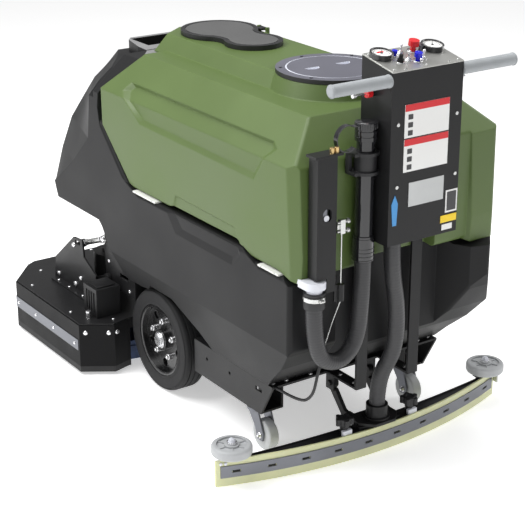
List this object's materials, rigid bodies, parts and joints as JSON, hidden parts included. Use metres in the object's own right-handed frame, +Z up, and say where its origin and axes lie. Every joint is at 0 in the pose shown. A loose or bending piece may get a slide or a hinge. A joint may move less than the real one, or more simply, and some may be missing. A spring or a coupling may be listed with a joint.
{
  "type": "walk-behind floor scrubber",
  "caption": "Walk-behind battery floor scrubber with stacked tanks, disc brush deck at the front, drive wheels, casters, a curved rear squeegee and a handlebar control column.",
  "frame": {"origin": "on the floor, at the middle of the machine's overall length and width", "axes": "+Z up, +Y from the front to the rear control column, +X towards the machine's own left side"},
  "size_m": [0.982, 1.565, 1.1376],
  "materials": {
    "black_metal": "black powder coat",
    "charcoal_tank": "textured rotomoulded charcoal",
    "green_tank": "textured rotomoulded green",
    "pad_white": "matte",
    "panel_metal": "brushed",
    "steel": "brushed zinc plated",
    "grip_grey": "satin grey grip",
    "lid_grey": "fine texture",
    "black_plastic": "matte black",
    "gloss_black": "gloss black",
    "hose_rubber": "smooth dark hose",
    "tyre_rubber": "dark grey tread",
    "wheel_grey": "light grey moulded",
    "blade_urethane": "cream yellow urethane",
    "skirt_rubber": "black rubber",
    "motor_grey": "painted casting",
    "red_plastic": "gloss red",
    "blue_plastic": "gloss blue",
    "label": "plain label stock",
    "battery_case": "matte battery case",
    "bristle": "nylon bristle",
    "zinc": "bright zinc"
  },
  "bodies": {
    "chassis": {"chassis_frame": "black_metal", "transaxle": "motor_grey", "solution_tank": "charcoal_tank", "recovery_tank": "green_tank", "tank_pads": "pad_white", "control_column": "black_metal", "control_panel": "panel_metal", "gauges": "gloss_black", "cover_screws": "zinc", "label_plates": "label", "handlebar": "steel", "hand_grips": "grip_grey", "lift_channel": "black_metal", "lift_actuator": "steel", "cable_sheath": "black_plastic", "hose_hanger": "black_plastic", "drain_tube": "gloss_black", "drain_hose": "hose_rubber", "vacuum_hose": "hose_rubber", "batteries": "battery_case", "vacuum_motor": "motor_grey"},
    "drive_wheel_left": {"tyre_left": "tyre_rubber", "rim_left": "black_metal"},
    "drive_wheel_right": {"tyre_right": "tyre_rubber", "rim_right": "black_metal"},
    "caster_swivel_left": {"caster_fork_left": "steel"},
    "caster_swivel_right": {"caster_fork_right": "steel"},
    "caster_roll_left": {"caster_wheel_left": "wheel_grey"},
    "caster_roll_right": {"caster_wheel_right": "wheel_grey"},
    "squeegee_carrier": {"squeegee_arm": "black_metal"},
    "squeegee_assembly": {"squeegee_body": "black_metal", "squeegee_blade_rear": "blade_urethane", "squeegee_blade_front": "blade_urethane", "squeegee_strap": "steel"},
    "squeegee_roller_left": {"bumper_wheel_left": "wheel_grey"},
    "squeegee_roller_right": {"bumper_wheel_right": "wheel_grey"},
    "clamp_knob_left": {"star_knob_left": "black_plastic"},
    "clamp_knob_right": {"star_knob_right": "black_plastic"},
    "blade_latch": {"squeegee_latch": "zinc"},
    "clevis": {"lift_clevis": "zinc"},
    "arms": {"deck_arms": "black_metal"},
    "turnbuckles": {"deck_link": "zinc"},
    "deck": {"scrub_deck": "black_metal", "side_skirts": "black_plastic", "skirt_strips": "skirt_rubber", "brush_motors": "motor_grey"},
    "brush_disc_left": {"brush_left": "bristle"},
    "brush_disc_right": {"brush_right": "bristle"},
    "small_lid": {"hourglass_lid": "lid_grey"},
    "big_lid": {"round_lid": "lid_grey"},
    "cap": {"drain_cap": "gloss_black"},
    "stop_button": {"emergency_button": "red_plastic"},
    "key": {"key_switch": "steel"},
    "lever_left": {"trigger_left": "red_plastic"},
    "lever_right": {"trigger_right": "red_plastic"},
    "toggle_one": {"toggle_a": "zinc"},
    "toggle_two": {"toggle_b": "zinc"},
    "toggle_three": {"toggle_c": "zinc"},
    "blue_small": {"button_small": "blue_plastic"},
    "blue_large": {"button_large": "blue_plastic"}
  },
  "joints": [
    {"name": "drive_wheel_left_spin", "type": "hinge", "parent": "chassis", "child": "drive_wheel_left", "pos_m": [0.263, -0.023, 0.1535], "axis": [1, 0, 0], "continuous": true},
    {"name": "drive_wheel_right_spin", "type": "hinge", "parent": "chassis", "child": "drive_wheel_right", "pos_m": [-0.263, -0.023, 0.1535], "axis": [1, 0, 0], "continuous": true},
    {"name": "caster_left_turn", "type": "hinge", "parent": "chassis", "child": "caster_swivel_left", "pos_m": [0.25, 0.425, 0.12], "axis": [0, 0, 1], "continuous": true},
    {"name": "caster_left_spin", "type": "hinge", "parent": "caster_swivel_left", "child": "caster_roll_left", "pos_m": [0.25, 0.458, 0.043], "axis": [1, 0, 0], "continuous": true},
    {"name": "caster_right_turn", "type": "hinge", "parent": "chassis", "child": "caster_swivel_right", "pos_m": [-0.25, 0.425, 0.12], "axis": [0, 0, 1], "continuous": true},
    {"name": "caster_right_spin", "type": "hinge", "parent": "caster_swivel_right", "child": "caster_roll_right", "pos_m": [-0.25, 0.458, 0.043], "axis": [1, 0, 0], "continuous": true},
    {"name": "squeegee_lift", "type": "hinge", "parent": "chassis", "child": "squeegee_carrier", "pos_m": [0, 0.505, 0.165], "axis": [1, 0, 0], "range_deg": [0, 12], "deforming": ["vacuum_hose"]},
    {"name": "squeegee_swing", "type": "hinge", "parent": "squeegee_carrier", "child": "squeegee_assembly", "pos_m": [0, 0.622, 0.09], "axis": [0, 0, 1], "range_deg": [-11, 11]},
    {"name": "squeegee_roller_left_spin", "type": "hinge", "parent": "squeegee_assembly", "child": "squeegee_roller_left", "pos_m": [0.437, 0.573, 0.105], "axis": [0, 0, 1], "continuous": true},
    {"name": "clamp_knob_left_turn", "type": "hinge", "parent": "squeegee_assembly", "child": "clamp_knob_left", "pos_m": [0.112, 0.624, 0.105], "axis": [0, 0, 1], "continuous": true},
    {"name": "squeegee_roller_right_spin", "type": "hinge", "parent": "squeegee_assembly", "child": "squeegee_roller_right", "pos_m": [-0.437, 0.573, 0.105], "axis": [0, 0, 1], "continuous": true},
    {"name": "clamp_knob_right_turn", "type": "hinge", "parent": "squeegee_assembly", "child": "clamp_knob_right", "pos_m": [-0.112, 0.624, 0.105], "axis": [0, 0, 1], "continuous": true},
    {"name": "blade_latch_turn", "type": "hinge", "parent": "squeegee_assembly", "child": "blade_latch", "pos_m": [-0.484, 0.552, 0.05], "axis": [1, 0, 0], "range_deg": [0, 60]},
    {"name": "clevis_travel", "type": "slide", "parent": "chassis", "child": "clevis", "axis": [0, 0, 1], "range_m": [0, 0.036]},
    {"name": "deck_arm_lift", "type": "hinge", "parent": "chassis", "child": "arms", "pos_m": [0, -0.33, 0.245], "axis": [-1, 0, 0], "range_deg": [0, 18]},
    {"name": "deck_level", "type": "hinge", "parent": "arms", "child": "deck", "pos_m": [0, -0.478, 0.186], "axis": [-1, 0, 0], "range_deg": [-18, 0]},
    {"name": "turnbuckle_swing", "type": "hinge", "parent": "chassis", "child": "turnbuckles", "pos_m": [0, -0.33, 0.375], "axis": [-1, 0, 0], "range_deg": [0, 18]},
    {"name": "brush_left_spin", "type": "hinge", "parent": "deck", "child": "brush_disc_left", "pos_m": [0.215, -0.445, 0.1], "axis": [0, 0, 1], "continuous": true},
    {"name": "brush_right_spin", "type": "hinge", "parent": "deck", "child": "brush_disc_right", "pos_m": [-0.215, -0.445, 0.1], "axis": [0, 0, 1], "continuous": true},
    {"name": "small_lid_hinge", "type": "hinge", "parent": "chassis", "child": "small_lid", "pos_m": [-0.125, -0.1, 1.0085], "axis": [0, -1, 0], "range_deg": [0, 100]},
    {"name": "round_lid_lift", "type": "slide", "parent": "chassis", "child": "big_lid", "axis": [0, 0, 1], "range_m": [0, 0.2]},
    {"name": "drain_cap_pull", "type": "slide", "parent": "chassis", "child": "cap", "axis": [0, 0, 1], "range_m": [0, 0.05]},
    {"name": "stop_button_press", "type": "slide", "parent": "chassis", "child": "stop_button", "axis": [0, -0.1929, -0.9812], "range_m": [0, 0.005], "stiffness_N_per_m": 400},
    {"name": "key_turn", "type": "hinge", "parent": "chassis", "child": "key", "pos_m": [-0.043, 0.694, 1.10651], "axis": [0, 0.1929, 0.9812], "range_deg": [0, 60]},
    {"name": "toggle_one_flip", "type": "hinge", "parent": "chassis", "child": "toggle_one", "pos_m": [0.026, 0.73139, 1.1012], "axis": [1, 0, 0], "range_deg": [-14, 14]},
    {"name": "toggle_two_flip", "type": "hinge", "parent": "chassis", "child": "toggle_two", "pos_m": [-0.015, 0.73739, 1.10002], "axis": [1, 0, 0], "range_deg": [-14, 14]},
    {"name": "toggle_three_flip", "type": "hinge", "parent": "chassis", "child": "toggle_three", "pos_m": [0.018, 0.69039, 1.10926], "axis": [1, 0, 0], "range_deg": [-14, 14]},
    {"name": "blue_small_press", "type": "slide", "parent": "chassis", "child": "blue_small", "axis": [0, -0.1929, -0.9812], "range_m": [0, 0.004], "stiffness_N_per_m": 300},
    {"name": "blue_large_press", "type": "slide", "parent": "chassis", "child": "blue_large", "axis": [0, -0.1929, -0.9812], "range_m": [0, 0.005], "stiffness_N_per_m": 300},
    {"name": "lever_left_squeeze", "type": "hinge", "parent": "chassis", "child": "lever_left", "pos_m": [0.12, 0.709, 1.027], "axis": [1, 0, 0], "range_deg": [0, 40], "stiffness_Nm_per_rad": 0.2},
    {"name": "lever_right_squeeze", "type": "hinge", "parent": "chassis", "child": "lever_right", "pos_m": [-0.12, 0.709, 1.027], "axis": [1, 0, 0], "range_deg": [0, 40], "stiffness_Nm_per_rad": 0.2}
  ],
  "couplings": [
    {"joint": "clevis_travel", "follows": "squeegee_lift", "m_per_rad": 0.15},
    {"joint": "deck_level", "follows": "deck_arm_lift", "ratio": -1},
    {"joint": "turnbuckle_swing", "follows": "deck_arm_lift", "ratio": 1}
  ]
}
